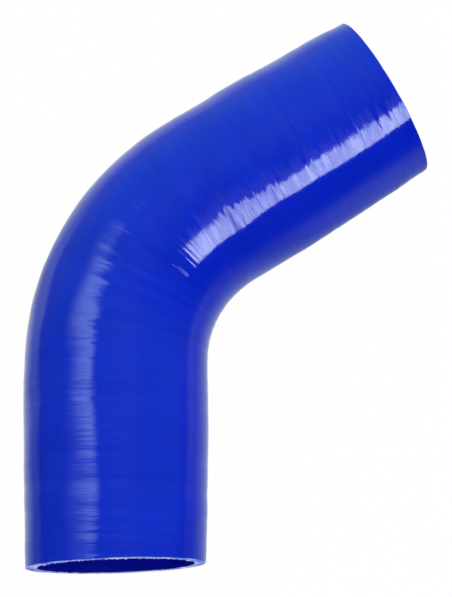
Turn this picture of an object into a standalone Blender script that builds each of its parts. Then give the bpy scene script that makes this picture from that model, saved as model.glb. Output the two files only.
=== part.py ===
"""Silicone elbow hose with a 60 degree bend, lying on its side.

One piece: reinforced silicone built up on a bent mandrel, cured, pulled off and
trimmed with a knife at both mouths. Lengths are metres and +Z is up. The axes of
the two straight legs cross at X = Y = 0; the inlet leg runs from there towards -Y
and the bend turns the outlet leg towards +X. The last step moves the finished
hose so that the origin is under the middle of its footprint.
"""
import math

import bpy
import bmesh
from mathutils import Matrix, Vector

# Driving sizes
BORE = 0.076                        # slides over a 76 mm pipe spigot
WALL = 0.005                        # four plies of cloth in silicone
BEND_ANGLE = math.radians(60.0)
BEND_RADIUS = 0.090                 # on the centreline
INLET_LEG = 0.146                   # from the crossing of the axes to the cut end
OUTLET_LEG = 0.150

# The soft hose isn't quite round: these are changes of its width in the plane of the bend
INLET_PINCH = 0.0026                # narrower at the inlet mouth
OUTLET_PINCH = 0.0052               # narrower at the outlet mouth
SHOULDER_SWELL = 0.0008             # wider where each leg runs into the bend
SWELL_SETBACK = 0.010               # the inlet leg's widest ring, ahead of the bend

# Knife cuts: a positive angle leaves the leg shorter on the inside of the bend
INLET_CUT = math.radians(1.4)
OUTLET_CUT = math.radians(0.6)
TRIM = 0.006                        # moulding cut off beyond each mouth
EDGE_BREAK = 0.0004                 # the knife's edges, rubbed off
KNIFE_EDGE = math.radians(60.0)     # edges sharper than this are the knife's
KNIFE_BLOCK = 2.0                   # the cutting blocks, in outside diameters

# Facets
SIDES = 64
BEND_STEPS = 24
LEG_STEPS = 7
EDGE_STEPS = 2

# Finish, as linear colour
SILICONE_BLUE = (0.008, 0.030, 0.520, 1.0)
SILICONE_ROUGHNESS = 0.32

# Worked out from the sizes above
OUTSIDE = BORE + 2.0 * WALL
TANGENT = BEND_RADIUS * math.tan(BEND_ANGLE / 2.0)
INLET_STRAIGHT = INLET_LEG - TANGENT
OUTLET_STRAIGHT = OUTLET_LEG - TANGENT
BEND_LENGTH = BEND_RADIUS * BEND_ANGLE
BEND_START = INLET_STRAIGHT
BEND_END = BEND_START + BEND_LENGTH
OUTLET_MOUTH = BEND_END + OUTLET_STRAIGHT
BEND_CENTRE = Vector((BEND_RADIUS, -TANGENT))
OUTLET_WAY = Vector((math.sin(BEND_ANGLE), math.cos(BEND_ANGLE)))


def clear_scene():
    for old in list(bpy.data.objects):
        bpy.data.objects.remove(old, do_unlink=True)


def new_collection(name):
    collection = bpy.data.collections.new(name)
    bpy.context.scene.collection.children.link(collection)
    return collection


def silicone():
    material = bpy.data.materials.new("blue_silicone")
    material.use_nodes = True
    shader = material.node_tree.nodes["Principled BSDF"]
    shader.inputs["Base Color"].default_value = SILICONE_BLUE
    shader.inputs["Roughness"].default_value = SILICONE_ROUGHNESS
    shader.inputs["Metallic"].default_value = 0.0
    material.diffuse_color = SILICONE_BLUE
    return material


def on_centreline(station):
    """Point at a distance from the inlet mouth, and the way to the inside of the bend."""
    if station <= BEND_START:
        return Vector((0.0, station - INLET_LEG)), Vector((1.0, 0.0))
    turned = min((station - BEND_START) / BEND_RADIUS, BEND_ANGLE)
    inward = Vector((math.cos(turned), -math.sin(turned)))
    point = BEND_CENTRE - BEND_RADIUS * inward
    return point + OUTLET_WAY * max(station - BEND_END, 0.0), inward


def station_of(point):
    """Distance from the inlet mouth of the cross-section that holds a point."""
    if point.y <= -TANGENT:
        return point.y + INLET_LEG
    from_centre = point - BEND_CENTRE
    turned = math.atan2(from_centre.y, -from_centre.x)
    if turned <= BEND_ANGLE:
        return BEND_START + BEND_RADIUS * turned
    return BEND_END + point.dot(OUTLET_WAY) - TANGENT


def ease(share):
    return 0.5 - 0.5 * math.cos(math.pi * share)


def extra_width(station):
    """How much wider than round the hose is in the plane of its bend."""
    widest = BEND_START - SWELL_SETBACK
    middle = (BEND_START + BEND_END) / 2.0
    if station < widest:
        share = 1.0 - station / widest
        return SHOULDER_SWELL - (SHOULDER_SWELL + INLET_PINCH) * share ** 2
    if station < middle:
        return SHOULDER_SWELL * (1.0 - ease((station - widest) / (middle - widest)))
    if station < BEND_END:
        return SHOULDER_SWELL * ease((station - middle) / (BEND_END - middle))
    share = (station - BEND_END) / OUTLET_STRAIGHT
    return SHOULDER_SWELL - (SHOULDER_SWELL + OUTLET_PINCH) * share ** 2


def ring_stations():
    """Stations of the rings: even steps along each leg and round the bend."""
    inlet_step = (BEND_START + TRIM) / LEG_STEPS
    bend_step = BEND_LENGTH / BEND_STEPS
    outlet_step = (OUTLET_STRAIGHT + TRIM) / LEG_STEPS
    stations = [inlet_step * i - TRIM for i in range(LEG_STEPS)]
    stations += [BEND_START + bend_step * i for i in range(BEND_STEPS)]
    stations += [BEND_END + outlet_step * i for i in range(LEG_STEPS + 1)]
    return stations


def swept_skin():
    """Round tube of the outside size along the centreline, open at both ends."""
    stations = ring_stations()
    curve = bpy.data.curves.new("centreline", "CURVE")
    curve.dimensions = "3D"
    curve.twist_mode = "Z_UP"
    curve.bevel_depth = OUTSIDE / 2.0
    # Blender gives a round bevel 4 sides and 2 more for each step of resolution
    curve.bevel_resolution = (SIDES - 4) // 2
    spline = curve.splines.new("POLY")
    spline.points.add(len(stations) - 1)
    for point, station in zip(spline.points, stations):
        place = on_centreline(station)[0]
        point.co = (place.x, place.y, 0.0, 1.0)
    guide = bpy.data.objects.new("centreline", curve)
    bpy.context.scene.collection.objects.link(guide)
    depsgraph = bpy.context.evaluated_depsgraph_get()
    mesh = bpy.data.meshes.new_from_object(guide.evaluated_get(depsgraph))
    bpy.data.objects.remove(guide, do_unlink=True)
    bpy.data.curves.remove(curve)
    return mesh


def shape_width(mesh):
    """Widens or narrows the round skin in the plane of its bend, station by station."""
    form = bmesh.new()
    form.from_mesh(mesh)
    for vert in form.verts:
        flat = vert.co.to_2d()
        station = station_of(flat)
        point, inward = on_centreline(station)
        across = (flat - point).dot(inward)
        vert.co += (inward * across * extra_width(station) / OUTSIDE).to_3d()
    bmesh.ops.recalc_face_normals(form, faces=form.faces)
    form.to_mesh(mesh)
    form.free()


def knife(name, station, cut, beyond, collection):
    """Block whose face is the plane of a mouth's cut, and which removes what lies past it.

    beyond is 1 where the cut-off end is further along the centreline, and -1 where it
    is further back.
    """
    point, inward = on_centreline(station)
    outward = Vector((-inward.y, inward.x)) * beyond
    size = KNIFE_BLOCK * OUTSIDE
    form = bmesh.new()
    bmesh.ops.create_cube(form, size=size)
    bmesh.ops.translate(form, verts=form.verts, vec=(size / 2.0, 0.0, 0.0))
    mesh = bpy.data.meshes.new(name)
    form.to_mesh(mesh)
    form.free()
    block = bpy.data.objects.new(name, mesh)
    block.hide_render = True
    block.display_type = "WIRE"
    turn = math.atan2(outward.y, outward.x) - beyond * cut
    block.matrix_world = Matrix.Translation(point.to_3d()) @ Matrix.Rotation(turn, 4, "Z")
    collection.objects.link(block)
    return block


def trim(hose, block):
    cut = hose.modifiers.new(block.name, "BOOLEAN")
    cut.operation = "DIFFERENCE"
    cut.solver = "EXACT"
    cut.object = block


def elbow_hose(collection, cutters):
    """Skin, wall thickness inwards from it, the two knife cuts, then the broken edges."""
    mesh = swept_skin()
    mesh.name = "elbow_hose"
    shape_width(mesh)
    mesh.shade_smooth()
    mesh.materials.clear()
    mesh.materials.append(silicone())
    hose = bpy.data.objects.new("elbow_hose", mesh)
    collection.objects.link(hose)

    shell = hose.modifiers.new("wall", "SOLIDIFY")
    shell.thickness = WALL
    shell.offset = -1.0
    shell.use_even_offset = True

    trim(hose, knife("inlet_knife", 0.0, INLET_CUT, -1.0, cutters))
    trim(hose, knife("outlet_knife", OUTLET_MOUTH, OUTLET_CUT, 1.0, cutters))

    edges = hose.modifiers.new("edge_break", "BEVEL")
    edges.width = EDGE_BREAK
    edges.segments = EDGE_STEPS
    edges.limit_method = "ANGLE"
    edges.angle_limit = KNIFE_EDGE
    edges.harden_normals = True
    return hose


def stand_on_origin(hose, cutters):
    """Moves all so that the origin is under the middle of the hose's footprint."""
    depsgraph = bpy.context.evaluated_depsgraph_get()
    mesh = hose.evaluated_get(depsgraph).to_mesh()
    corners = [hose.matrix_world @ vert.co for vert in mesh.vertices]
    low = Vector([min(corner[axis] for corner in corners) for axis in range(3)])
    high = Vector([max(corner[axis] for corner in corners) for axis in range(3)])
    hose.evaluated_get(depsgraph).to_mesh_clear()
    shift = Vector((-(low.x + high.x) / 2.0, -(low.y + high.y) / 2.0, -low.z))
    for piece in [hose, *cutters.objects]:
        piece.location += shift


def main():
    clear_scene()
    parts = new_collection("silicone_elbow_hose")
    cutters = new_collection("knife_cuts")
    hose = elbow_hose(parts, cutters)
    stand_on_origin(hose, cutters)


main()
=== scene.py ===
"""Looks of the silicone elbow hose: skin, tape marks, cut mouths, bore, stage, lamps and camera."""

import math

import bpy
import numpy as np
from bpy.props import FloatProperty, FloatVectorProperty, IntProperty, PointerProperty
from mathutils import Matrix, Vector


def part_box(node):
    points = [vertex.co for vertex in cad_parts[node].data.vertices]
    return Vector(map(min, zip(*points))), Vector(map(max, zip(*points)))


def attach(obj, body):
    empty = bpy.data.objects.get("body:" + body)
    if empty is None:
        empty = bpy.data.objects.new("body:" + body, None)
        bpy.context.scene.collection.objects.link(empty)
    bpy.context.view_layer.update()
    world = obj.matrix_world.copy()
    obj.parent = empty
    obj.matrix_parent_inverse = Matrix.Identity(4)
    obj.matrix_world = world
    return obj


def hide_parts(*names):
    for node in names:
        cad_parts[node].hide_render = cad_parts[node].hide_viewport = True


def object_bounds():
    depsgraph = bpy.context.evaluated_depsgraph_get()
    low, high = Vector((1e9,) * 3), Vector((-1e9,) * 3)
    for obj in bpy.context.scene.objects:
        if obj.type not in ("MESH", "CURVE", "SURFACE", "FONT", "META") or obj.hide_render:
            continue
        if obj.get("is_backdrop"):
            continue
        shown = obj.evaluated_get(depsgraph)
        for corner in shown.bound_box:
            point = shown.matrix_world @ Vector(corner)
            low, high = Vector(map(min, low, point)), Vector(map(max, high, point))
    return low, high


bl_info = {
    "name": "Silicone Elbow Hose",
    "version": (1, 0, 0),
    "blender": (4, 5, 0),
    "location": "View3D > Sidebar > Elbow Hose",
    "description": "Models a moulded silicone elbow hose and the studio it lies in",
    "category": "Add Mesh",
}

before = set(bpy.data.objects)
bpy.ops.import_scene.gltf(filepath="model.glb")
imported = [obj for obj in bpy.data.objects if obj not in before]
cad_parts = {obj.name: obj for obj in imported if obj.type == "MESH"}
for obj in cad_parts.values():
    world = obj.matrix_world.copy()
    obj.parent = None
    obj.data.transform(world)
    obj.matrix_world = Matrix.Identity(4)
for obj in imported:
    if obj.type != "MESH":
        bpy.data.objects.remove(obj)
NODE = "elbow_hose"
BODY = "root"
CAD_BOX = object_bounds()
NODE_LOW, NODE_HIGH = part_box(NODE)
NODE_MIDDLE = (NODE_LOW + NODE_HIGH) / 2.0

# Facets of the fine mesh
SIDES = 128
SKIN_STEP = 0.00047         # between the skin's rings
BORE_STEP = 0.0062          # between the bore's rings
SAME_RING = 0.1             # rings closer than this share of a step are one
RIM_CUTS = 5                # rings across each cut face
RIM_SPLITS = 2              # extra corners in each side of a cut face
RIM_SEGMENTS = 3            # across each rubbed edge of a cut face

# Parts of a mouth, by how far they reach from its cut, in edge breaks
CUT_CORNERS = 0.25          # the cut as it is before its edges are rubbed
RIM_CORNERS = 1.01          # the cut face and both of its rubbed edges
FRAYED_CORNERS = 0.5
CUT_FACES = 0.9
BORE_EDGE = 1.05            # up to the last ring of the bore

# Parts of the wall, by their depth in it: 0 at the skin and 1 at the bore
FRAYED_DEPTH = 0.05
BORE_FACES = 0.5
CLOTH_DEPTH = 0.8           # cloth ends stand out from here on
CLOTH_RISE = 0.12
BORE_DEPTH = 0.99

LONGEST_CLOTH = 2.5         # cloth end, in times the usual one
CLOTH_OUTWARDS = 0.45       # how far it stands out of the cut, for what it reaches into the bore

# Material slots of the hose
SKIN, CUT, BORE = range(3)

WRAP = "wrap"               # attribute: distance along the hose, and the way round it
DEPTH = "depth_in_wall"     # attribute: 0 at the skin and 1 at the bore


def metres(name, text, size):
    return FloatProperty(name=name, description=text, default=size, unit="LENGTH", precision=5)


def degrees(name, text, angle):
    return FloatProperty(name=name, description=text, default=math.radians(angle), unit="ROTATION")


def colour(name, text, linear):
    return FloatVectorProperty(
        name=name, description=text, default=linear, subtype="COLOR", size=3, min=0.0, max=1.0
    )


def share(name, text, value):
    return FloatProperty(name=name, description=text, default=value, min=0.0, max=1.0)


def level(name, text, value):
    return FloatProperty(name=name, description=text, default=value, min=0.0)


class HoseSettings(bpy.types.PropertyGroup):
    """Sizes of the hose. They repeat those of its solid, so the skin lies on it."""

    bore: metres("Bore", "Inside diameter", 0.076)
    wall: metres("Wall", "Thickness of the wall", 0.005)
    bend_angle: degrees("Bend angle", "Turn between the legs", 60.0)
    bend_radius: metres("Bend radius", "Radius of the centreline", 0.090)
    inlet_leg: metres("Inlet leg", "From the crossing of the axes to the cut", 0.146)
    outlet_leg: metres("Outlet leg", "From the crossing of the axes to the cut", 0.150)
    inlet_pinch: metres("Inlet pinch", "How much narrower the inlet mouth is", 0.0026)
    outlet_pinch: metres("Outlet pinch", "How much narrower the outlet mouth is", 0.0052)
    shoulder_swell: metres("Shoulder swell", "How much wider the ends of the bend are", 0.0008)
    swell_setback: metres("Swell setback", "From the inlet leg's widest ring to the bend", 0.010)
    inlet_cut: degrees("Inlet cut", "Lean of the inlet's cut", 1.4)
    outlet_cut: degrees("Outlet cut", "Lean of the outlet's cut", 0.6)
    cut_reach: metres("Cut reach", "Stretch over which the rings lean into the cut", 0.020)
    ridge: metres("Ridge", "Height of the soft ridge along the outlet leg", 0.00055)
    ridge_angle: degrees("Ridge angle", "From the top of the hose to the ridge", 30.5)
    ridge_reach: degrees("Ridge reach", "Half of the ridge's width", 11.5)
    dent: metres("Dent", "Depth of the soft dent along the inlet leg", 0.0004)
    dent_angle: degrees("Dent angle", "From the top of the hose to the dent", 4.0)
    dent_reach: degrees("Dent reach", "Half of the dent's width", 10.0)
    edge_break: metres("Edge break", "Rounding of the cut edges", 0.0004)
    cut_fray: metres("Cut fray", "Roughness of the cut faces", 0.00013)
    fringe: metres("Fringe", "Usual length of the cloth ends at the bore's edge", 0.0005)


class TapeSettings(bpy.types.PropertyGroup):
    """Marks that the wrapping tape leaves in the skin while the hose cures."""

    lead: metres("Lead", "Advance of the tape in one turn", 0.0073)
    flat_spot: metres("Flat spot", "Usual length of a flat spot along the hose", 0.0030)
    crease: metres("Crease", "Usual distance between fine creases", 0.0013)
    step: metres("Step", "Height of a tape edge", 0.00002)
    tilt: degrees("Tilt", "Usual tilt of the creases", 1.9)
    waviness: metres("Waviness", "Height of the slow waves in the section", 0.00010)
    mean_depth: metres("Mean depth", "From the full outside to the middle of the marks", 0.00020)
    seed: IntProperty(name="Seed", description="Picks the marks", default=488)


class FinishSettings(bpy.types.PropertyGroup):
    """Colours and gloss."""

    blue: colour("Silicone", "Pigmented silicone", (0.0017, 0.0165, 0.555))
    deep_blue: colour("Deep silicone", "Where the outer coat is thick", (0.0013, 0.0145, 0.515))
    cut_pale: colour("Cut cloth", "Cloth fibres in the cut", (0.58, 0.68, 1.00))
    cut_blue: colour("Cut silicone", "Silicone in the cut", (0.10, 0.16, 0.88))
    # The skin's silicone blue, made darker and purer for the inside: painted shade in the hollow of the
    # hose
    bore_blue_with_painted_shade: colour("Bore", "Inside of the hose", (0.0020, 0.0060, 0.50))
    roughness: share("Roughness", "Of the skin", 0.065)


class StudioSettings(bpy.types.PropertyGroup):
    """Camera and lamps. Azimuths run from +X towards +Y, and heights are above the floor."""

    camera_azimuth: degrees("Camera azimuth", "Where the camera stands", -67.16)
    camera_height: degrees("Camera height", "How steeply the camera looks down", 76.07)
    camera_roll: degrees("Camera roll", "Turn about the view", -0.77)
    camera_distance: metres("Camera distance", "To the middle of the hose", 0.860)
    lens: FloatProperty(name="Lens", description="Focal length in millimetres", default=109.69)
    key_level: level("Key", "Radiance of the soft box at the right, where white is 1", 12.4)
    side_level: level("Side", "Radiance of the soft light at the left", 3.65)
    back_level: level("Back fill", "Light on a matt face turned to the lamp behind the hose", 0.64)
    front_level: level("Front fill", "Light on a matt face turned to the lamp before the hose", 0.31)
    room_level: level("Room", "Even light on matt surfaces from all round", 0.52)


def ease(part):
    """Smooth rise from 0 to 1 as the part goes from 0 to 1."""
    return 0.5 - 0.5 * np.cos(math.pi * np.clip(part, 0.0, 1.0))


class Route:
    """Centreline of the hose in plan, with the crossing of the two legs' axes at the origin.

    A station is a distance along it from the inlet mouth. Angles round the hose run from
    its top towards the inside of the bend.
    """

    # Ridge along the outlet leg
    RIDGE_TOP = 0.26            # its highest place, as a share of the leg's straight run
    RIDGE_SWELL = 0.024         # how far it takes to sink from there
    RIDGE_SHARE = 0.35          # of its full height that is left further away
    RIDGE_LEAD = 0.004          # from its start to the end of the bend
    RIDGE_RISE = 0.030

    # Stations of the dent along the inlet leg
    DENT_START = 0.048
    DENT_FALL = 0.022
    DENT_END = 0.135
    DENT_RISE = 0.060

    def __init__(self, size):
        self.size = size
        self.outside = size.bore + 2.0 * size.wall
        self.tangent = size.bend_radius * math.tan(size.bend_angle / 2.0)
        self.bend_start = size.inlet_leg - self.tangent
        self.bend_length = size.bend_radius * size.bend_angle
        self.bend_end = self.bend_start + self.bend_length
        self.outlet_run = size.outlet_leg - self.tangent
        self.length = self.bend_end + self.outlet_run
        self.centre = np.array((size.bend_radius, -self.tangent))
        self.outlet_way = np.array((math.sin(size.bend_angle), math.cos(size.bend_angle)))

    def at(self, station):
        """Points of the centreline, and the ways to the inside of the bend."""
        turned = (station - self.bend_start) / self.size.bend_radius
        turned = np.clip(turned, 0.0, self.size.bend_angle)
        inward = np.stack((np.cos(turned), -np.sin(turned)), axis=-1)
        along = np.stack((np.sin(turned), np.cos(turned)), axis=-1)
        before = np.minimum(station - self.bend_start, 0.0)
        beyond = np.maximum(station - self.bend_end, 0.0)
        point = self.centre - self.size.bend_radius * inward + along * (before + beyond)[:, None]
        return point, inward

    def locate(self, corners):
        """Stations of corners, and how far to the inside of the bend each lies."""
        flat = corners[:, :2]
        from_centre = flat - self.centre
        turned = np.arctan2(from_centre[:, 1], -from_centre[:, 0])
        station = np.where(
            turned > self.size.bend_angle,
            self.bend_end + flat @ self.outlet_way - self.tangent,
            self.bend_start + self.size.bend_radius * turned,
        )
        station = np.where(flat[:, 1] <= -self.tangent, flat[:, 1] + self.size.inlet_leg, station)
        point, inward = self.at(station)
        return station, ((flat - point) * inward).sum(axis=1)

    def place(self, station, across):
        """Places in plan that are a distance across from the centreline."""
        point, inward = self.at(station)
        return point + inward * across[:, None]

    def to_mouth(self, station):
        return np.minimum(station, self.length - station)

    def extra_width(self, station):
        """How much wider than round the hose is in the plane of its bend."""
        size = self.size
        widest = self.bend_start - size.swell_setback
        middle = (self.bend_start + self.bend_end) / 2.0
        to_middle = np.where(
            station < middle,
            ease((station - widest) / (middle - widest)),
            1.0 - ease((station - middle) / (self.bend_end - middle)),
        )
        to_inlet = np.maximum(1.0 - station / widest, 0.0) ** 2
        to_outlet = (np.maximum(station - self.bend_end, 0.0) / self.outlet_run) ** 2
        width = size.shoulder_swell * (1.0 - to_middle)
        width = width - (size.shoulder_swell + size.inlet_pinch) * to_inlet
        return width - (size.shoulder_swell + size.outlet_pinch) * to_outlet

    def ridge(self, station, angle):
        """Height of the soft ridge along the outlet leg."""
        size = self.size
        top = self.bend_end + self.RIDGE_TOP * self.outlet_run
        swell = np.exp(-(((station - top) / self.RIDGE_SWELL) ** 2))
        begun = ease((station - self.bend_end + self.RIDGE_LEAD) / self.RIDGE_RISE)
        across = np.exp(-(((angle - size.ridge_angle) / size.ridge_reach) ** 2))
        along = self.RIDGE_SHARE + (1.0 - self.RIDGE_SHARE) * swell
        return size.ridge * along * begun * across

    def dent(self, station, angle):
        """Depth of the soft dent along the inlet leg."""
        size = self.size
        begun = ease((station - self.DENT_START) / self.DENT_FALL)
        unfinished = ease((self.DENT_END - station) / self.DENT_RISE)
        across = np.exp(-(((angle - size.dent_angle) / size.dent_reach) ** 2))
        return size.dent * begun * unfinished * across

    def lean(self, station, across):
        """Shift along the hose that brings the last rings into the plane of each cut."""
        near_inlet = np.clip(1.0 - station / self.size.cut_reach, 0.0, 1.0)
        near_outlet = np.clip(1.0 - (self.length - station) / self.size.cut_reach, 0.0, 1.0)
        at_inlet = math.tan(self.size.inlet_cut) * near_inlet
        at_outlet = math.tan(self.size.outlet_cut) * near_outlet
        return across * (at_inlet - at_outlet)


class TapeLayer:
    """Marks of one kind: flats that tilt along the hose, stronger and weaker round it."""

    MARGIN = 6                  # flats beyond each end of the hose
    FLAT_LENGTHS = (0.6, 1.4)   # shortest and longest flat, in pitches
    STEEPEST = 1.7              # flat, in usual tilts
    SLACK = 0.5                 # share of its height that one flat hands to the next
    STEP_HEIGHTS = (0.2, 1.0)   # lowest and highest step, as shares of the full one
    DRIFT = 170.0               # most that a wave of strength turns, in radians a metre
    STRENGTH = 0.95             # in the middle
    SWING = 0.25                # how far the strength usually comes and goes
    WEAKEST = 0.55
    STRONGEST = 1.35

    def __init__(self, rng, length, pitch, tilt, waves, step=0.0, run=0.0):
        count = int(length / pitch) + 2 * self.MARGIN
        lengths = rng.uniform(*self.FLAT_LENGTHS, count) * pitch
        steepest = self.STEEPEST * tilt
        tilts = np.clip(rng.normal(0.0, tilt, count), -steepest, steepest)
        knots = np.cumsum(lengths) - self.MARGIN * pitch
        heights = np.zeros(count)
        for i in range(1, count):
            heights[i] = self.SLACK * heights[i - 1] + tilts[i] * lengths[i]
        steps = rng.uniform(*self.STEP_HEIGHTS, count) * step
        self.places = np.stack((knots - run / 2.0, knots + run / 2.0), axis=1).ravel()
        self.heights = np.stack((heights - steps / 2.0, heights + steps / 2.0), axis=1).ravel()
        self.waves = np.arange(*waves)
        self.phases = rng.uniform(0.0, 2.0 * math.pi, len(self.waves))
        self.drifts = rng.uniform(-self.DRIFT, self.DRIFT, len(self.waves))

    def height(self, along, station, angle):
        field = np.zeros_like(station)
        for wave, phase, drift in zip(self.waves, self.phases, self.drifts):
            field += np.sin(wave * angle + phase + drift * station)
        strength = self.STRENGTH + self.SWING * field * math.sqrt(2.0 / len(self.waves))
        strength = np.clip(strength, self.WEAKEST, self.STRONGEST)
        return np.interp(along, self.places, self.heights) * strength


class TapeRelief:
    """Depth of the skin: slow waves of the section, tape edges, flat spots and fine creases."""

    # Tilts, in usual tilts, and waves of strength round the hose: fewest, and one past the most
    EDGE_TILT, EDGE_WAVES = 0.25, (1, 5)
    FLAT_TILT, FLAT_WAVES = 0.55, (1, 6)
    CREASE_WAVES = (3, 12)
    EDGE_RUN = 0.0007           # length of the slope at a tape edge

    PULL_PLACES = (0.0, 0.45, 0.62, 0.74, 0.82)     # shares of the hose's length
    PULL = (0.60, 0.38, 0.50, 0.85, 1.00)           # how hard the tape was pulled there
    LEAST_FLATS = 0.40          # share of the flat spots that a loose tape leaves too

    SLOW_WAVES = 6
    LOBES = (3, 7)              # waves round the section: fewest, and one past the most
    WINDING = (60.0, 190.0)     # turn of a slow wave along the hose, in radians a metre
    HEEL = (-2.8, 0.1)          # angles of the side outside the bend, where the slow waves are full
    HEEL_FADE = 0.5
    OFF_HEEL = 0.12             # share of the slow waves elsewhere
    DEEPEST = 4.0               # mark, in mean depths

    def __init__(self, tape, length):
        self.tape = tape
        self.length = length
        rng = np.random.default_rng(tape.seed)
        edge_tilt, flat_tilt = self.EDGE_TILT * tape.tilt, self.FLAT_TILT * tape.tilt
        self.layers = (
            TapeLayer(rng, length, tape.lead, edge_tilt, self.EDGE_WAVES, tape.step, self.EDGE_RUN),
            TapeLayer(rng, length, tape.flat_spot, flat_tilt, self.FLAT_WAVES),
            TapeLayer(rng, length, tape.crease, tape.tilt, self.CREASE_WAVES),
        )
        self.lobes = rng.integers(*self.LOBES, self.SLOW_WAVES)
        winding = rng.uniform(*self.WINDING, self.SLOW_WAVES)
        self.windings = winding * rng.choice((-1.0, 1.0), self.SLOW_WAVES)
        self.phases = rng.uniform(0.0, 2.0 * math.pi, self.SLOW_WAVES)

    def depth(self, station, angle):
        """How far the skin is below the full outside."""
        along = station + self.tape.lead * angle / (2.0 * math.pi)
        edges, flats, creases = (layer.height(along, station, angle) for layer in self.layers)
        pull = np.interp(station / self.length, self.PULL_PLACES, self.PULL)
        height = edges + (self.LEAST_FLATS + (1.0 - self.LEAST_FLATS) * pull) * flats + pull * creases

        low, high = self.HEEL
        heel = ease((high - angle) / self.HEEL_FADE) * ease((angle - low) / self.HEEL_FADE)
        wave_height = self.tape.waviness * (self.OFF_HEEL + (1.0 - self.OFF_HEEL) * heel)
        wave_height = wave_height * math.sqrt(2.0 / self.SLOW_WAVES)
        for lobes, winding, phase in zip(self.lobes, self.windings, self.phases):
            height = height + wave_height * np.sin(lobes * angle + winding * station + phase)
        return np.clip(self.tape.mean_depth - height, 0.0, self.DEEPEST * self.tape.mean_depth)


def deselect_all():
    if bpy.context.object is not None and bpy.context.object.mode != "OBJECT":
        bpy.ops.object.mode_set(mode="OBJECT")
    bpy.ops.object.select_all(action="DESELECT")


def read_corners(piece):
    corners = np.empty(3 * len(piece.data.vertices))
    piece.data.vertices.foreach_get("co", corners)
    return corners.reshape(-1, 3)


def read_edges(piece):
    """Numbers of the two corners of each edge."""
    ends = np.empty(2 * len(piece.data.edges), dtype=np.int32)
    piece.data.edges.foreach_get("vertices", ends)
    return ends.reshape(-1, 2)


def select_edges(piece, chosen):
    """Selects the edges for which a test on their first and second ends holds.

    The test gets the places of all first ends and of all second ends. The piece is left in
    edit mode.
    """
    bpy.ops.object.mode_set(mode="EDIT")
    bpy.ops.mesh.select_mode(type="EDGE")
    bpy.ops.mesh.select_all(action="DESELECT")
    bpy.ops.object.mode_set(mode="OBJECT")
    first, second = read_corners(piece)[read_edges(piece)].transpose(1, 0, 2)
    piece.data.edges.foreach_set("select", chosen(first, second))
    bpy.ops.object.mode_set(mode="EDIT")


def tube(name, route, radius, step):
    """Open round tube: a circle spun round the bend and drawn out at both ends."""
    size = route.size
    deselect_all()
    bpy.ops.mesh.primitive_circle_add(
        vertices=SIDES,
        radius=radius,
        location=(0.0, -route.tangent, 0.0),
        rotation=(math.pi / 2.0, 0.0, 0.0),
    )
    piece = bpy.context.object
    piece.name = name
    bpy.ops.object.transform_apply(location=True, rotation=True, scale=True)
    bpy.ops.object.mode_set(mode="EDIT")
    bpy.ops.mesh.select_mode(type="VERT")
    bpy.ops.mesh.select_all(action="SELECT")
    bpy.ops.mesh.spin(
        steps=round(route.bend_length / step),
        angle=size.bend_angle,
        center=(*route.centre, 0.0),
        axis=(0.0, 0.0, 1.0),
    )
    outlet = Vector((*route.outlet_way, 0.0)) * route.outlet_run
    bpy.ops.mesh.extrude_edges_move(TRANSFORM_OT_translate={"value": outlet})

    def on_first_ring(first, second):
        in_its_plane = np.abs(first[:, 1] + second[:, 1] + 2.0 * route.tangent) < step * SAME_RING
        return in_its_plane & (first[:, 0] < radius + step)

    def along_a_leg(first, second):
        lengths = np.linalg.norm(first - second, axis=1)
        return lengths > min(route.bend_start, route.outlet_run) / 2.0

    select_edges(piece, on_first_ring)
    inlet = Vector((0.0, -route.bend_start, 0.0))
    bpy.ops.mesh.extrude_edges_move(TRANSFORM_OT_translate={"value": inlet})
    select_edges(piece, along_a_leg)
    cuts = round(route.bend_start / step) - 1
    bpy.ops.mesh.subdivide_edgering(number_cuts=cuts, interpolation="LINEAR")
    bpy.ops.mesh.select_all(action="SELECT")
    bpy.ops.mesh.normals_make_consistent(inside=False)
    bpy.ops.object.mode_set(mode="OBJECT")
    return piece


def join(first, second):
    deselect_all()
    second.select_set(True)
    first.select_set(True)
    bpy.context.view_layer.objects.active = first
    bpy.ops.object.join()
    return first


def close_mouths(piece, route):
    """Bridges skin and bore at both mouths with fine rings, then rubs off the knife's edges."""
    size = route.size
    near = size.edge_break * CUT_CORNERS

    def on_cut(corners, mouth):
        return np.abs(route.locate(corners)[0] - mouth) < near

    def on_rim(corners):
        station, across = route.locate(corners)
        radius = np.hypot(across, corners[:, 2])
        to_rim = np.minimum(np.abs(radius - size.bore / 2.0), np.abs(radius - route.outside / 2.0))
        return (np.abs(route.to_mouth(station)) < near) & (to_rim < near)

    for mouth in (0.0, route.length):
        select_edges(piece, lambda first, second: on_cut(first, mouth) & on_cut(second, mouth))
        bpy.ops.mesh.bridge_edge_loops(number_cuts=RIM_CUTS, interpolation="LINEAR")
    select_edges(piece, lambda first, second: on_rim(first) & on_rim(second))
    bpy.ops.mesh.bevel(offset=size.edge_break, segments=RIM_SEGMENTS, affect="EDGES")


def split_rims(piece, route):
    """Adds corners round the cut faces, for their frayed edge."""
    side = 2.0 * math.pi / SIDES
    reach = route.size.edge_break * RIM_CORNERS

    def round_a_cut(first, second):
        (start, start_across), (end, end_across) = route.locate(first), route.locate(second)
        on_rims = (route.to_mouth(start) < reach) & (route.to_mouth(end) < reach)
        turned = np.arctan2(start_across, first[:, 2]) - np.arctan2(end_across, second[:, 2])
        turned = np.abs((turned + math.pi) % (2.0 * math.pi) - math.pi)
        return on_rims & (turned > side / 2.0)

    select_edges(piece, round_a_cut)
    bpy.ops.mesh.subdivide(number_cuts=RIM_SPLITS)
    bpy.ops.object.mode_set(mode="OBJECT")


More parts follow.
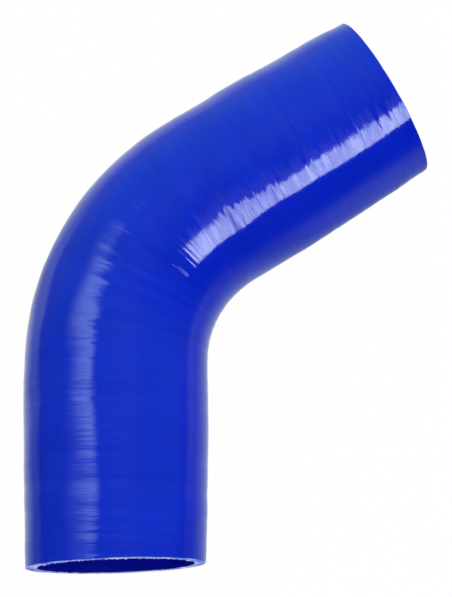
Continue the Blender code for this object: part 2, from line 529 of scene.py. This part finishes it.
def fray(route, seed, station, angle, depth_in_wall):
    """How far the knife frayed each corner of the cuts, and how far a cloth end reaches there."""
    size = route.size
    rng = np.random.default_rng(seed)
    to_mouth = route.to_mouth(station)
    on_cut = (to_mouth < size.edge_break * FRAYED_CORNERS) & (depth_in_wall > FRAYED_DEPTH)
    frayed = np.where(on_cut, np.abs(rng.normal(0.0, size.cut_fray, len(station))), 0.0)

    count = SIDES * (RIM_SPLITS + 1)
    longest = LONGEST_CLOTH * size.fringe
    ends = np.clip(rng.normal(0.0, size.fringe, (2, count)), 0.0, longest)
    number = np.round(angle / (2.0 * math.pi) * count).astype(int) % count
    cloth = ends[(station > route.length / 2.0).astype(int), number]
    at_cut = np.clip(1.0 - to_mouth / size.edge_break, 0.0, 1.0)
    at_bore = np.clip((depth_in_wall - CLOTH_DEPTH) / CLOTH_RISE, 0.0, 1.0)
    return frayed, cloth * at_cut * at_bore


def shape(piece, route, tape):
    """Gives the round tube its real widths, leaning cuts, tape marks and frayed cut faces.

    It ends on its solid. The stations and depths in the wall of its corners are returned.
    """
    size = route.size
    corners = read_corners(piece)
    station, across = route.locate(corners)
    station = np.clip(station, 0.0, route.length)
    up = corners[:, 2]
    radius = np.hypot(across, up)
    angle = np.arctan2(across, up)
    depth_in_wall = (route.outside / 2.0 - radius) / size.wall

    across = across * (1.0 + route.extra_width(station) / (2.0 * radius))
    moved = station + route.lean(station, across)
    smooth = route.place(moved, across)
    solid_middle = (np.array(NODE_LOW) + np.array(NODE_HIGH)) / 2.0
    shift = solid_middle[:2] - (smooth.min(axis=0) + smooth.max(axis=0)) / 2.0

    marks = TapeRelief(tape, route.length).depth(station, angle)
    in_skin = np.clip(1.0 - 2.0 * depth_in_wall, 0.0, 1.0)
    sunk = (marks + route.dent(station, angle) - route.ridge(station, angle)) * in_skin
    frayed, cloth = fray(route, tape.seed + 1, station, angle, depth_in_wall)
    outwards = np.where(station < route.length / 2.0, -1.0, 1.0)
    moved = moved + outwards * (CLOTH_OUTWARDS * cloth - frayed)
    keep = (1.0 - sunk / radius) * (1.0 - cloth / radius)

    flat = route.place(moved, across * keep) + shift
    placed = np.column_stack((flat, up * keep + solid_middle[2]))
    piece.data.vertices.foreach_set("co", placed.ravel())
    around = np.column_stack((station, np.sin(angle), np.cos(angle)))
    wrap = piece.data.attributes.new(WRAP, "FLOAT_VECTOR", "POINT")
    wrap.data.foreach_set("vector", around.ravel())
    depth = piece.data.attributes.new(DEPTH, "FLOAT", "POINT")
    depth.data.foreach_set("value", depth_in_wall)
    piece.data.update()
    return station, depth_in_wall


def paint_slots(piece, station, depth_in_wall, route):
    """Gives each face its slot: skin, cut face or bore. Shading stops at the bore's frayed edge."""
    to_mouth = route.to_mouth(station)
    on_cut = to_mouth < route.size.edge_break * CUT_FACES
    at_bore_edge = (to_mouth < route.size.edge_break * BORE_EDGE) & (depth_in_wall > BORE_DEPTH)
    sharp = at_bore_edge[read_edges(piece)].all(axis=1)
    piece.data.edges.foreach_set("use_edge_sharp", sharp)
    for face in piece.data.polygons:
        corners = list(face.vertices)
        if on_cut[corners].all():
            face.material_index = CUT
        elif depth_in_wall[corners].mean() > BORE_FACES:
            face.material_index = BORE
        else:
            face.material_index = SKIN


class Value:
    """Number socket of a shader, used in Python expressions: each operation adds a Math node."""

    def __init__(self, shader, socket):
        self.shader = shader
        self.socket = socket

    def math(self, operation, *others, clamp=False):
        settings = {"operation": operation, "use_clamp": clamp}
        node = self.shader.add("ShaderNodeMath", settings, dict(enumerate((self, *others))))
        return Value(self.shader, node.outputs[0])

    def __add__(self, other):
        return self.math("ADD", other)

    __radd__ = __add__

    def __mul__(self, other):
        return self.math("MULTIPLY", other)

    __rmul__ = __mul__

    def __sub__(self, other):
        return self.math("SUBTRACT", other)

    def __rsub__(self, other):
        return (self * -1.0) + other

    def power(self, exponent):
        return self.math("POWER", exponent)

    def clamped(self):
        return self.math("ADD", 0.0, clamp=True)

    def least(self, other):
        return self.math("MINIMUM", other)

    def most(self, other):
        return self.math("MAXIMUM", other)

    def between(self, low, high):
        """0 below the low value, 1 above the high one, and smooth between."""
        node = self.shader.add(
            "ShaderNodeMapRange",
            {"interpolation_type": "SMOOTHSTEP"},
            {"Value": self, "From Min": low, "From Max": high},
        )
        return Value(self.shader, node.outputs["Result"])


class Shader:
    """Empty node tree of a new material, lamp or world, to be filled."""

    def __init__(self, owner):
        owner.use_nodes = True
        self.owner = owner
        self.tree = owner.node_tree
        self.tree.nodes.clear()

    def link(self, value, socket):
        if isinstance(value, Value):
            self.tree.links.new(value.socket, socket)
        elif isinstance(value, bpy.types.NodeSocket):
            self.tree.links.new(value, socket)
        else:
            socket.default_value = value

    def add(self, kind, settings=None, values=None):
        """Adds a node, with its settings first and then the values or links of its sockets."""
        node = self.tree.nodes.new(kind)
        for name, setting in (settings or {}).items():
            setattr(node, name, setting)
        for name, value in (values or {}).items():
            self.link(value, node.inputs[name])
        return node

    def number(self, kind, output, settings=None, values=None):
        return Value(self, self.add(kind, settings, values).outputs[output])

    def ray(self, kind):
        """1 for a ray of that kind, and 0 for any other."""
        return self.number("ShaderNodeLightPath", f"Is {kind} Ray")

    def split(self, vector):
        """The three numbers of a vector."""
        node = self.add("ShaderNodeSeparateXYZ", None, {"Vector": vector})
        return [Value(self, socket) for socket in node.outputs]

    def vector(self, operation, first, second):
        values = {0: first, 1: second}
        node = self.add("ShaderNodeVectorMath", {"operation": operation}, values)
        return node.outputs["Vector"]

    def length(self, vector):
        return self.number("ShaderNodeVectorMath", "Value", {"operation": "LENGTH"}, {0: vector})

    def noise(self, place, scale, detail, roughness=0.5):
        values = {"Vector": place, "Scale": scale, "Detail": detail, "Roughness": roughness}
        return self.number("ShaderNodeTexNoise", "Fac", None, values)

    def streaks(self, place, along, around, detail, roughness=0.5):
        """Noise of one scale along the hose and another round it."""
        stretched = self.vector("MULTIPLY", place, (along, around, around))
        return self.noise(stretched, 1.0, detail, roughness)

    def mix(self, factor, first, second):
        """Blend of two colours."""
        node = self.add("ShaderNodeMix", {"data_type": "RGBA"})
        self.link(factor, node.inputs["Factor"])
        for socket, value in zip([s for s in node.inputs if s.type == "RGBA"], (first, second)):
            self.link(value if isinstance(value, bpy.types.NodeSocket) else (*value, 1.0), socket)
        return next(s for s in node.outputs if s.type == "RGBA")

    def bump(self, height, distance, under=None):
        values = {"Height": height, "Distance": distance}
        if under is not None:
            values["Normal"] = under
        return self.add("ShaderNodeBump", None, values).outputs["Normal"]

    def finish(self, **sockets):
        """Principled shader on the surface. Socket names are given with _ for a space."""
        values = {name.replace("_", " "): value for name, value in sockets.items()}
        principled = self.add("ShaderNodeBsdfPrincipled", None, values)
        self.add("ShaderNodeOutputMaterial", None, {"Surface": principled.outputs[0]})
        return self.owner


SILICONE_IOR = 1.45
NOISE_MIDDLE = 0.5          # about what a noise gives on average


def wrapped(shader, radius):
    """Place as if the hose were straight, in metres: along it, and the two ways across."""
    attribute = shader.add("ShaderNodeAttribute", {"attribute_name": WRAP}).outputs["Vector"]
    return shader.vector("MULTIPLY", attribute, (1.0, radius, radius))


class SkinFinish:
    """Blue silicone whose outer coat shows the tape's creases, a fine grain and slow clouds."""

    CLOUD_SHARE = 0.7           # of the changes of blue that are clouds, where the rest are bands
    DEEP = (0.42, 0.60)         # noise between which the coat gets thick
    SCUFF_CREASES = 0.5         # how much of the scuffs follow the creases
    SCUFFED = (0.45, 0.75)
    SCUFF_ROUGHNESS = 0.045
    CREASES, THREADS = 0.7, 0.9
    RELIEF = 0.00010            # height of the creases that are finer than the mesh
    GRAIN = 0.00001
    LEAST_PULL = 0.50           # share of the fine creases that the inlet leg shows
    MORE_PULL = 0.30            # what the outlet leg adds
    PULL_STATIONS = (0.18, 0.25)

    def material(self, finish, radius):
        shader = Shader(bpy.data.materials.new("blue_silicone"))
        place = wrapped(shader, radius)
        clouds = shader.streaks(place, along=60.0, around=22.0, detail=3.0)
        bands = shader.streaks(place, along=340.0, around=16.0, detail=3.0)
        creases = shader.streaks(place, along=600.0, around=55.0, detail=3.0, roughness=0.6)
        threads = shader.streaks(place, along=950.0, around=110.0, detail=1.0)
        grain = shader.noise(place, scale=1500.0, detail=2.0)

        deep = self.CLOUD_SHARE * clouds + (1.0 - self.CLOUD_SHARE) * bands
        base = shader.mix(deep.between(*self.DEEP), finish.blue, finish.deep_blue)
        scuffed = (bands + self.SCUFF_CREASES * (creases - NOISE_MIDDLE)).between(*self.SCUFFED)
        roughness = finish.roughness + self.SCUFF_ROUGHNESS * scuffed
        station = shader.split(place)[0]
        pull = self.LEAST_PULL + self.MORE_PULL * station.between(*self.PULL_STATIONS)
        height = (self.CREASES * creases + self.THREADS * threads) * pull
        crinkled = shader.bump(height, self.RELIEF)
        grained = shader.bump(grain, self.GRAIN, under=crinkled)
        return shader.finish(
            Base_Color=base, Roughness=roughness, Normal=grained, IOR=SILICONE_IOR
        )


class CutFinish:
    """Knife-cut face: blue silicone with pale cloth fibres standing out of it."""

    PATCHES = 0.9               # how much the fibres come in patches
    FRINGE = 0.16               # more fibres towards the bore
    FRINGE_DEPTHS = (0.55, 1.0)
    PALE = (0.44, 0.62)         # noise between which fibres cover the silicone
    RELIEF = 0.0003
    ROUGHNESS = 0.75

    def material(self, finish):
        shader = Shader(bpy.data.materials.new("cut_face"))
        place = shader.add("ShaderNodeTexCoord").outputs["Object"]
        fibres = shader.noise(place, scale=1100.0, detail=4.0, roughness=0.7)
        patches = shader.noise(place, scale=130.0, detail=2.0)
        depth = shader.number("ShaderNodeAttribute", "Fac", {"attribute_name": DEPTH})
        fringe = self.FRINGE * depth.between(*self.FRINGE_DEPTHS)
        pale = fibres + self.PATCHES * (patches - NOISE_MIDDLE) + fringe
        base = shader.mix(pale.between(*self.PALE), finish.cut_blue, finish.cut_pale)
        rough = shader.bump(fibres, self.RELIEF)
        return shader.finish(
            Base_Color=base, Roughness=self.ROUGHNESS, Normal=rough, IOR=SILICONE_IOR
        )


class BoreFinish:
    """Smooth inside, moulded on the mandrel."""

    ROUGHNESS = 0.24
    ROUGHNESS_CHANGE = 0.10
    RELIEF = 0.00002
    SPECULAR = 0.25

    def material(self, finish, radius):
        shader = Shader(bpy.data.materials.new("bore_silicone"))
        bands = shader.streaks(wrapped(shader, radius), along=60.0, around=90.0, detail=2.0)
        return shader.finish(
            # Base colour: the skin's blue with painted shade, darker and purer for the shaded inside
            Base_Color=(*finish.bore_blue_with_painted_shade, 1.0),
            Roughness=self.ROUGHNESS + self.ROUGHNESS_CHANGE * (bands - NOISE_MIDDLE),
            Normal=shader.bump(bands, self.RELIEF),
            IOR=SILICONE_IOR,
            Specular_IOR_Level=self.SPECULAR,
        )


class ELBOWHOSE_OT_hose(bpy.types.Operator):
    """Models the hose: skin and bore as tubes, joined at the cut mouths and shaped on the solid"""

    bl_idname = "elbow_hose.add_hose"
    bl_label = "Elbow Hose"

    def execute(self, context):
        scene = context.scene
        size, finish = scene.elbow_hose_size, scene.elbow_hose_finish
        route = Route(size)
        radius = route.outside / 2.0
        skin = tube("silicone_hose", route, radius, SKIN_STEP)
        bore = tube("bore_skin", route, size.bore / 2.0, BORE_STEP)
        bore.data.flip_normals()
        piece = join(skin, bore)
        close_mouths(piece, route)
        split_rims(piece, route)
        station, depth_in_wall = shape(piece, route, scene.elbow_hose_tape)
        piece.data.materials.append(SkinFinish().material(finish, radius))
        piece.data.materials.append(CutFinish().material(finish))
        piece.data.materials.append(BoreFinish().material(finish, radius))
        paint_slots(piece, station, depth_in_wall, route)
        bpy.ops.object.shade_smooth()
        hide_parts(NODE)
        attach(piece, BODY)
        return {"FINISHED"}


def direction(azimuth, height):
    return Vector(
        (math.cos(azimuth) * math.cos(height), math.sin(azimuth) * math.cos(height), math.sin(height))
    )


def facing(back, upwards, roll=0.0):
    """Turn of a camera or lamp that looks along -back, with a way of the scene upwards in its view."""
    right = Vector(upwards).cross(back).normalized()
    up = back.cross(right)
    turned_right = right * math.cos(roll) + up * math.sin(roll)
    turned_up = up * math.cos(roll) - right * math.sin(roll)
    return Matrix((turned_right, turned_up, back)).transposed().to_4x4()


def lamp(name, azimuth, height, distance, face, watts):
    """Square lamp that looks at the middle of the hose from a distance."""
    light = bpy.data.lights.new(name, "AREA")
    light.shape = "SQUARE"
    light.size = face
    light.energy = watts
    holder = bpy.data.objects.new(name, light)
    back = direction(math.radians(azimuth), math.radians(height))
    turned = facing(back, (0.0, 0.0, 1.0))
    holder.matrix_world = Matrix.Translation(NODE_MIDDLE + back * distance) @ turned
    holder.visible_camera = False
    bpy.context.scene.collection.objects.link(holder)
    return holder


class SoftBox:
    """Lamp seen in the gloss alone.

    Its mask gives the share of its level at each place on its face. Places are in units of
    its distance from the hose, to the right and upwards.
    """

    DISTANCE = 3.0

    def add(self, radiance):
        face = 2.0 * self.REACH * self.DISTANCE
        watts = radiance * math.pi * face ** 2
        holder = lamp(self.NAME, self.AZIMUTH, self.HEIGHT, self.DISTANCE, face, watts)
        holder.visible_diffuse = False
        shader = Shader(holder.data)
        place = shader.add("ShaderNodeNewGeometry").outputs["Parametric"]
        across, up = [(part - 0.5) * (2.0 * self.REACH) for part in shader.split(place)[:2]]
        values = {"Color": (*self.TINT, 1.0), "Strength": self.mask(across, up)}
        glow = shader.add("ShaderNodeEmission", None, values)
        shader.add("ShaderNodeOutputLight", None, {"Surface": glow.outputs[0]})


class KeyBox(SoftBox):
    """Soft box at the right, with slanting edges. The bright highlight shows it."""

    NAME = "key"
    AZIMUTH = -45.0
    HEIGHT = 42.0
    REACH = 1.0                     # half of its face
    TINT = (0.90, 1.0, 1.04)

    # Edges, each with how much it slants and where it fades
    TOP = 0.085
    TOP_TO_LEFT = 1.4
    TOP_TO_RIGHT = 1.0
    TOP_FADE = (-0.035, 0.02)
    SPILL = 0.07                    # faint light above the top edge
    SPILL_FADE = (0.0, 0.9)
    BOTTOM = -0.365
    BOTTOM_TO_LEFT = 0.25
    BOTTOM_FADE = (-0.012, 0.012)
    RIGHT = 0.14
    RIGHT_SLANT = 0.21
    RIGHT_FADE = (-0.02, 0.02)
    LEFT_FADE = (-0.37, -0.21)

    # Brightness of its face: dimmer at the left and upwards, with soft folds across it
    MIDDLE_FADE = (-0.12, 0.02)
    LEFT_SHARE = 0.79
    MIDDLE_GAIN = 0.25
    DIMMED = 0.26
    MIDDLE_DIMMED_LESS = 0.16
    DIMMED_FADE = (-0.20, 0.20)
    FOLDS_SHARE = 0.93
    FOLDS_DEPTH = 0.24
    FOLDS = 30.0

    def mask(self, across, up):
        to_left, to_right = across.least(0.0), across.most(0.0)
        above = up - (self.TOP - self.TOP_TO_LEFT * to_left + self.TOP_TO_RIGHT * to_right)
        spill = self.SPILL * (1.0 - above.between(*self.SPILL_FADE))
        top = (1.0 - above.between(*self.TOP_FADE)).most(spill)
        bottom = (up - self.BOTTOM + self.BOTTOM_TO_LEFT * to_left).between(*self.BOTTOM_FADE)
        right = (self.RIGHT - self.RIGHT_SLANT * up - across).between(*self.RIGHT_FADE)
        left = across.between(*self.LEFT_FADE)
        middle = across.between(*self.MIDDLE_FADE)
        dimmed = (self.DIMMED - self.MIDDLE_DIMMED_LESS * middle) * up.between(*self.DIMMED_FADE)
        face = (self.LEFT_SHARE + self.MIDDLE_GAIN * middle) * (1.0 - dimmed)
        folds = self.FOLDS_SHARE + self.FOLDS_DEPTH * (self.FOLDS * across).math("SINE")
        return top * bottom * right * left * face * folds


class SideBox(SoftBox):
    """Soft light at the left, with one crisp side and fading away from it."""

    NAME = "side"
    AZIMUTH = 152.0
    HEIGHT = 52.0
    REACH = 0.6
    TINT = (0.74, 1.0, 1.0)

    CRISP = -0.105
    CRISP_SLANT = 0.14
    CRISP_FADE = (-0.03, 0.05)
    FADED = 0.85                    # share lost far from the crisp side
    FADE = (-0.02, 0.30)
    TOP_FADE = (0.22, 0.50)
    BOTTOM_FADE = (-0.43, 0.07)

    # Dim light low on its face
    SKIRT = 0.35
    SKIRT_LEFT_FADE = (-0.30, -0.10)
    SKIRT_TOP_FADE = (-0.02, 0.20)
    SKIRT_BOTTOM_FADE = (-0.5, 0.0)

    def mask(self, across, up):
        crisp = (across - self.CRISP - self.CRISP_SLANT * up).between(*self.CRISP_FADE)
        fading = 1.0 - self.FADED * across.between(*self.FADE)
        top = 1.0 - up.between(*self.TOP_FADE)
        bottom = up.between(*self.BOTTOM_FADE)
        skirt = self.SKIRT * across.between(*self.SKIRT_LEFT_FADE)
        skirt = skirt * (1.0 - up.between(*self.SKIRT_TOP_FADE)) * up.between(*self.SKIRT_BOTTOM_FADE)
        return (crisp * fading * top * bottom).most(skirt * fading)


MATT_DISTANCE = 2.0
MATT_FACE = 1.8
BACK_FILL = ("back_fill", 60.0, 60.0)       # name, azimuth and height
FRONT_FILL = ("front_fill", -77.0, 9.0)


def matt_light(name, azimuth, height, share_of_white):
    """Large lamp that doesn't show in the gloss. A white face turned to it gets that share of white."""
    watts = share_of_white * (math.pi * MATT_DISTANCE) ** 2
    lamp(name, azimuth, height, MATT_DISTANCE, MATT_FACE, watts).visible_glossy = False


# Colours of the floor and of the room as the gloss shows them
WHITE = (1.0, 1.0, 1.0)
LEFT_TINT = (0.95, 1.0, 1.0)        # floor beside the hose, at its left
RIGHT_TINT = (0.80, 1.0, 1.0)
NEAR_TINT = (0.77, 1.0, 1.0)        # further out, in the bright places
FAR_TINT = (0.52, 1.0, 1.0)         # and away from them
ROOM_TINT = (0.36, 1.0, 1.04)

# Bright places of the floor as the gloss shows it: centre, radius, share and how crisp the edge is
POOLS = (
    ((-0.08, -0.05, 0.0), 0.14, 1.0, 4.0),
    ((-0.06, 0.16, 0.0), 0.17, 1.0, 4.0),
    ((-0.27, 0.10, 0.0), 0.17, 1.0, 2.0),
    ((0.13, -0.02, 0.0), 0.085, 0.62, 2.0),
)
POOL_LEVEL = 0.86
BESIDE = (-0.05, 0.05)              # along X, from the left tint to the right one
BESIDE_REACH = (0.12, 0.22)         # from the middle, where the tints beside the hose give way
NEAR_FLOOR = 0.1                    # keeps the floor's directions even close to the middle

FLOOR_COLOUR = (0.9, 0.9, 0.9, 1.0)
FLOOR_SEEN = 0.985                  # share that the camera sees as plain white
LOW_ROOM = (0.0, 0.25)              # heights over which the low part of the room ends

# Brightness of the room in the gloss
ROOM_SIDES = 0.34
FRONT_LOSS = 0.70
BACK_GAIN = 0.62
LEFT_LOSS = 0.35
LOW_LOSS = 0.35


def surroundings(right, back, low):
    """Brightness of the room in the gloss, by direction: bright at the back and dim at the front."""
    to_front, to_back = (back * -1.0).clamped(), back.clamped()
    to_left = (right * -1.0).clamped()
    around = (ROOM_SIDES - FRONT_LOSS * to_front).clamped()
    around = around * (1.0 - LEFT_LOSS * to_left) * (1.0 - LOW_LOSS * low)
    return around + BACK_GAIN * to_back


def floor_material():
    """Floor that is white to the camera but for a soft shadow, and has bright pools in the gloss."""
    shader = Shader(bpy.data.materials.new("floor_white"))
    place = shader.add("ShaderNodeTexCoord").outputs["Object"]
    brightest = None
    for centre, radius, part, crispness in POOLS:
        away = shader.length(shader.vector("SUBTRACT", place, centre))
        pool = part * (1.0 + (away * (1.0 / radius)).power(crispness)).power(-1.0)
        brightest = pool if brightest is None else brightest.most(pool)
    right, back, _ = shader.split(place)
    reach = shader.length(place)
    nearness = (reach + NEAR_FLOOR).power(-1.0)
    far = surroundings(right * nearness, back * nearness, 1.0)
    pooled = (POOL_LEVEL * brightest).most(far)

    glossy = shader.ray("Glossy")
    tint = shader.mix(brightest.clamped(), FAR_TINT, NEAR_TINT)
    beside = shader.mix(right.between(*BESIDE), LEFT_TINT, RIGHT_TINT)
    tint = shader.mix(reach.between(*BESIDE_REACH), beside, tint)
    values = {
        "Color": shader.mix(glossy, WHITE, tint),
        "Strength": (1.0 - glossy) + glossy * pooled,
    }
    plain = shader.add("ShaderNodeEmission", None, values).outputs[0]
    lit = shader.add("ShaderNodeBsdfDiffuse", None, {"Color": FLOOR_COLOUR}).outputs[0]
    seen = shader.ray("Camera") * FLOOR_SEEN
    mirrored = glossy.most(shader.ray("Transmission"))
    blend = shader.add("ShaderNodeMixShader", None, {0: seen.most(mirrored), 1: lit, 2: plain})
    shader.add("ShaderNodeOutputMaterial", None, {"Surface": blend.outputs[0]})
    return shader.owner


def room(even_level):
    """World that is even on matt surfaces, dim in gloss and white to the camera."""
    world = bpy.data.worlds.new("room")
    bpy.context.scene.world = world
    world.cycles.sampling_method = "NONE"
    shader = Shader(world)
    way = shader.add("ShaderNodeTexCoord").outputs["Generated"]
    right, back, up = shader.split(way)
    low = 1.0 - up.between(*LOW_ROOM)
    glossy = shader.ray("Glossy")
    dim = surroundings(right, back, low)
    strength = 1.0 - glossy * (1.0 - dim) - shader.ray("Diffuse") * (1.0 - even_level)
    shown = shader.mix(glossy, WHITE, shader.mix(low, ROOM_TINT, FAR_TINT))
    values = {"Color": shown, "Strength": strength}
    background = shader.add("ShaderNodeBackground", None, values)
    shader.add("ShaderNodeOutputWorld", None, {"Surface": background.outputs[0]})


class ELBOWHOSE_OT_stage(bpy.types.Operator):
    """Adds the floor, the room, the lamps and the camera"""

    bl_idname = "elbow_hose.add_stage"
    bl_label = "Stage"

    FLOOR_SIZE = 6.0
    AIM = Vector((-0.000626, -0.003060, 0.0))       # from the middle of the hose to the camera's aim
    NEAREST = 0.01                                  # that the camera sees

    def execute(self, context):
        scene = context.scene
        studio = scene.elbow_hose_studio
        self.add_floor()
        room(studio.room_level)
        KeyBox().add(studio.key_level)
        SideBox().add(studio.side_level)
        matt_light(*BACK_FILL, studio.back_level)
        matt_light(*FRONT_FILL, studio.front_level)
        self.add_camera(scene, studio)
        scene.view_settings.view_transform = "Standard"
        return {"FINISHED"}

    def add_floor(self):
        deselect_all()
        bpy.ops.mesh.primitive_plane_add(size=self.FLOOR_SIZE, location=(0.0, 0.0, NODE_LOW.z))
        floor = bpy.context.object
        floor.name = "floor"
        bpy.ops.object.transform_apply(location=True, rotation=True, scale=True)
        floor.data.materials.append(floor_material())
        floor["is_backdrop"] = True

    def add_camera(self, scene, studio):
        lens = bpy.data.cameras.new("camera")
        lens.lens = studio.lens
        lens.clip_start = self.NEAREST
        camera = bpy.data.objects.new("camera", lens)
        back = direction(studio.camera_azimuth, studio.camera_height)
        stand = NODE_MIDDLE + self.AIM + back * studio.camera_distance
        turned = facing(back, (0.0, 1.0, 0.0), studio.camera_roll)
        camera.matrix_world = Matrix.Translation(stand) @ turned
        scene.collection.objects.link(camera)
        scene.camera = camera


class ELBOWHOSE_PT_panel(bpy.types.Panel):
    """Sizes, finish and steps of the elbow hose"""

    bl_idname = "ELBOWHOSE_PT_panel"
    bl_label = "Elbow Hose"
    bl_space_type = "VIEW_3D"
    bl_region_type = "UI"
    bl_category = "Elbow Hose"

    def draw(self, context):
        layout = self.layout
        for name, (label, kind) in SETTINGS.items():
            box = layout.box()
            box.label(text=label)
            for prop in kind.__annotations__:
                box.prop(getattr(context.scene, name), prop)
        for step in STEPS:
            layout.operator(step.bl_idname)


SETTINGS = {
    "elbow_hose_size": ("Sizes", HoseSettings),
    "elbow_hose_tape": ("Tape marks", TapeSettings),
    "elbow_hose_finish": ("Finish", FinishSettings),
    "elbow_hose_studio": ("Studio", StudioSettings),
}
STEPS = (ELBOWHOSE_OT_hose, ELBOWHOSE_OT_stage)
CLASSES = (*(kind for _, kind in SETTINGS.values()), *STEPS, ELBOWHOSE_PT_panel)


def register():
    for kind in CLASSES:
        bpy.utils.register_class(kind)
    for name, (_, kind) in SETTINGS.items():
        setattr(bpy.types.Scene, name, PointerProperty(type=kind))


def unregister():
    for name in SETTINGS:
        delattr(bpy.types.Scene, name)
    for kind in reversed(CLASSES):
        bpy.utils.unregister_class(kind)


def write_sizes():
    """Works out the box of the solid and the box of the dressed hose."""
    boxes = {"cad": CAD_BOX, "visual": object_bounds()}
    boxes = {name: [list(corner) for corner in box] for name, box in boxes.items()}


def main():
    register()
    bpy.ops.elbow_hose.add_hose()
    bpy.ops.elbow_hose.add_stage()
    write_sizes()


if __name__ == "__main__":
    main()
